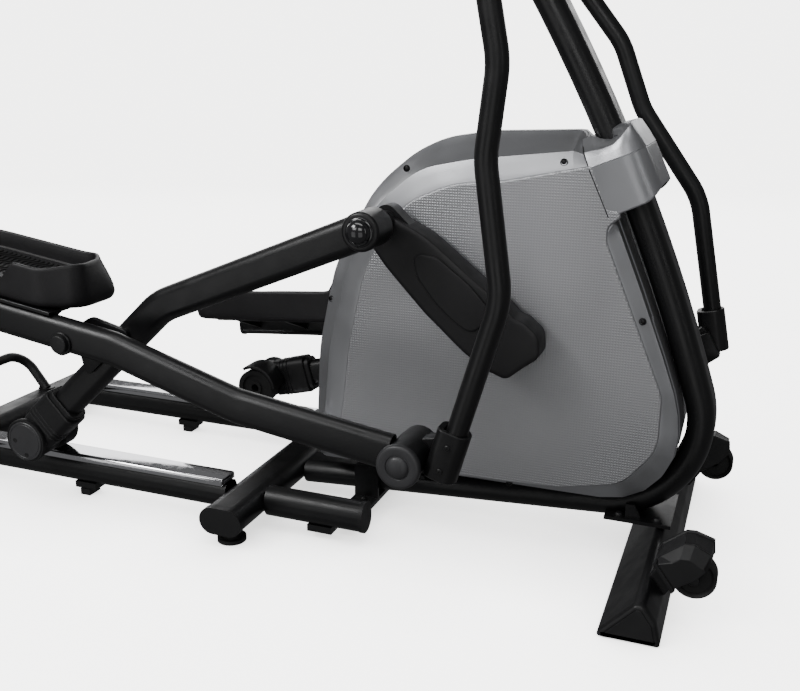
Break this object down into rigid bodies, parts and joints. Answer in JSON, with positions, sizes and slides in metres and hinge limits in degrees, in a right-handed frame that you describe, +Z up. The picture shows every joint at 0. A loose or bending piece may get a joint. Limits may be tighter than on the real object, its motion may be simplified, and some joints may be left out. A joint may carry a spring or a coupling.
{
  "type": "elliptical trainer",
  "caption": "Front-drive elliptical trainer: enclosed flywheel drive, linked cranks, rollers on chrome rails, footplates on pedal bars and swinging arm handles.",
  "frame": {"origin": "on the floor under the middle of the front beam", "axes": "+X forward, away from the user; +Y to the user's left; +Z up"},
  "size_m": [1.5041, 0.668, 1.6662],
  "materials": {
    "black_steel": "satin powder coat",
    "silver_plastic": "fine satin metallic grey",
    "black_plastic": "fine grained",
    "zinc_steel": "dark zinc plated",
    "chromed_steel": "polished",
    "wheel_rubber": "hard polyurethane",
    "soft_rubber": "matt",
    "grey_iron": "turned rim",
    "cast_alloy": "black anodised",
    "screen_glass": "glossy screen",
    "button_plastic": "satin"
  },
  "bodies": {
    "frame": {"loop_frame": "black_steel", "upper_mast": "black_steel", "front_stabiliser": "black_steel", "stabiliser_caps": "black_plastic", "saddle_brackets": "black_steel", "frame_bolts": "zinc_steel", "wheel_housings": "black_plastic", "mid_beam": "black_steel", "rear_beam": "black_steel", "end_caps": "black_plastic", "rail_tubes": "black_steel", "running_rails": "chromed_steel", "lift_handle": "black_steel", "cover_right": "silver_plastic", "cover_left": "silver_plastic", "cover_screws": "zinc_steel", "mast_shroud": "silver_plastic", "inner_frame": "black_steel", "crank_bearings": "zinc_steel", "drive_belt": "soft_rubber", "pivot_tube": "black_steel", "fixed_handlebar": "black_steel", "pulse_sensors": "chromed_steel", "console": "black_plastic", "console_screen": "screen_glass", "power_inlet": "black_plastic"},
    "crank": {"crank_axle": "zinc_steel", "drive_pulley": "cast_alloy", "crank_arm_right": "black_steel", "crank_arm_left": "black_steel", "crank_cover_right": "black_plastic", "crank_cover_left": "black_plastic"},
    "flywheel": {"flywheel": "grey_iron"},
    "idler": {"idler_arm": "zinc_steel"},
    "brake": {"magnet_brake": "zinc_steel"},
    "right_link": {"link_right": "black_steel", "roller_boot_right": "black_plastic"},
    "left_link": {"link_left": "black_steel", "roller_boot_left": "black_plastic"},
    "right_roller": {"roller_right": "wheel_rubber"},
    "left_roller": {"roller_left": "wheel_rubber"},
    "right_bar": {"pedal_bar_right": "black_steel", "pedal_right": "black_plastic"},
    "left_bar": {"pedal_bar_left": "black_steel", "pedal_left": "black_plastic"},
    "right_arm": {"swing_arm_right": "black_steel", "handle_right": "black_steel", "grip_right": "soft_rubber"},
    "left_arm": {"swing_arm_left": "black_steel", "handle_left": "black_steel", "grip_left": "soft_rubber"},
    "right_carry_wheel": {"carry_wheel_right": "wheel_rubber"},
    "left_carry_wheel": {"carry_wheel_left": "wheel_rubber"},
    "foot_mid_right": {"foot_mid_right": "soft_rubber"},
    "foot_mid_left": {"foot_mid_left": "soft_rubber"},
    "foot_rear_right": {"foot_rear_right": "soft_rubber"},
    "foot_rear_left": {"foot_rear_left": "soft_rubber"},
    "button_minus": {"button_minus": "button_plastic"},
    "button_start": {"button_start": "button_plastic"},
    "button_plus": {"button_plus": "button_plastic"}
  },
  "joints": [
    {"name": "crank_turn", "type": "hinge", "parent": "frame", "child": "crank", "pos_m": [-0.24, 0, 0.355], "axis": [0, 1, 0], "range_deg": [0, 90]},
    {"name": "flywheel_turn", "type": "hinge", "parent": "frame", "child": "flywheel", "pos_m": [-0.432, 0, 0.3], "axis": [0, 1, 0], "range_deg": [0, 630.01]},
    {"name": "right_link_slide", "type": "slide", "parent": "frame", "child": "right_link", "axis": [1, 0, 0], "range_m": [0, 0.35357]},
    {"name": "left_link_slide", "type": "slide", "parent": "frame", "child": "left_link", "axis": [1, 0, 0], "range_m": [-0.35357, 0]},
    {"name": "right_bar_pivot", "type": "hinge", "parent": "right_link", "child": "right_bar", "pos_m": [-0.90501, -0.29, 0.33126], "axis": [0, 1, 0], "range_deg": [-5.07, 0]},
    {"name": "left_bar_pivot", "type": "hinge", "parent": "left_link", "child": "left_bar", "pos_m": [-0.58805, 0.29, 0.23418], "axis": [0, 1, 0], "range_deg": [0, 3.31]},
    {"name": "right_arm_pivot", "type": "hinge", "parent": "frame", "child": "right_arm", "pos_m": [-0.239, -0.29, 0.905], "axis": [0, 1, 0], "range_deg": [-30.66, 0]},
    {"name": "left_arm_pivot", "type": "hinge", "parent": "frame", "child": "left_arm", "pos_m": [-0.239, 0.29, 0.905], "axis": [0, 1, 0], "range_deg": [0, 29.8]},
    {"name": "right_roller_spin", "type": "hinge", "parent": "right_link", "child": "right_roller", "pos_m": [-1.05556, -0.168, 0.12], "axis": [0, 1, 0], "continuous": true},
    {"name": "left_roller_spin", "type": "hinge", "parent": "left_link", "child": "left_roller", "pos_m": [-0.82099, 0.168, 0.12], "axis": [0, 1, 0], "continuous": true},
    {"name": "right_carry_spin", "type": "hinge", "parent": "frame", "child": "right_carry_wheel", "pos_m": [0.078, -0.214, 0.078], "axis": [0, 1, 0], "continuous": true},
    {"name": "left_carry_spin", "type": "hinge", "parent": "frame", "child": "left_carry_wheel", "pos_m": [0.078, 0.214, 0.078], "axis": [0, 1, 0], "continuous": true},
    {"name": "idler_pivot", "type": "hinge", "parent": "frame", "child": "idler", "pos_m": [-0.3, 0, 0.148], "axis": [0, 1, 0], "range_deg": [-6, 0], "stiffness_Nm_per_rad": 30, "springref_deg": 5.73},
    {"name": "brake_pivot", "type": "hinge", "parent": "frame", "child": "brake", "pos_m": [-0.406, 0, 0.4477], "axis": [0, 1, 0], "range_deg": [0, 5]},
    {"name": "foot_mid_right_screw", "type": "slide", "parent": "frame", "child": "foot_mid_right", "axis": [0, 0, -1], "range_m": [0, 0.008]},
    {"name": "foot_mid_left_screw", "type": "slide", "parent": "frame", "child": "foot_mid_left", "axis": [0, 0, -1], "range_m": [0, 0.008]},
    {"name": "foot_rear_right_screw", "type": "slide", "parent": "frame", "child": "foot_rear_right", "axis": [0, 0, -1], "range_m": [0, 0.008]},
    {"name": "foot_rear_left_screw", "type": "slide", "parent": "frame", "child": "foot_rear_left", "axis": [0, 0, -1], "range_m": [0, 0.008]},
    {"name": "button_minus_press", "type": "slide", "parent": "frame", "child": "button_minus", "axis": [0.6428, 0, -0.766], "range_m": [0, 0.002], "stiffness_N_per_m": 400, "springref_m": -0.001},
    {"name": "button_start_press", "type": "slide", "parent": "frame", "child": "button_start", "axis": [0.6428, 0, -0.766], "range_m": [0, 0.002], "stiffness_N_per_m": 400, "springref_m": -0.001},
    {"name": "button_plus_press", "type": "slide", "parent": "frame", "child": "button_plus", "axis": [0.6428, 0, -0.766], "range_m": [0, 0.002], "stiffness_N_per_m": 400, "springref_m": -0.001}
  ],
  "couplings": [
    {"joint": "flywheel_turn", "follows": "crank_turn", "ratio": 7},
    {"joint": "right_link_slide", "follows": "crank_turn", "m_per_rad": 0.22508},
    {"joint": "left_link_slide", "follows": "crank_turn", "m_per_rad": -0.22508},
    {"joint": "right_bar_pivot", "follows": "crank_turn", "ratio": -0.05621},
    {"joint": "left_bar_pivot", "follows": "crank_turn", "ratio": 0.036683},
    {"joint": "right_arm_pivot", "follows": "crank_turn", "ratio": -0.34056},
    {"joint": "left_arm_pivot", "follows": "crank_turn", "ratio": 0.33105}
  ]
}
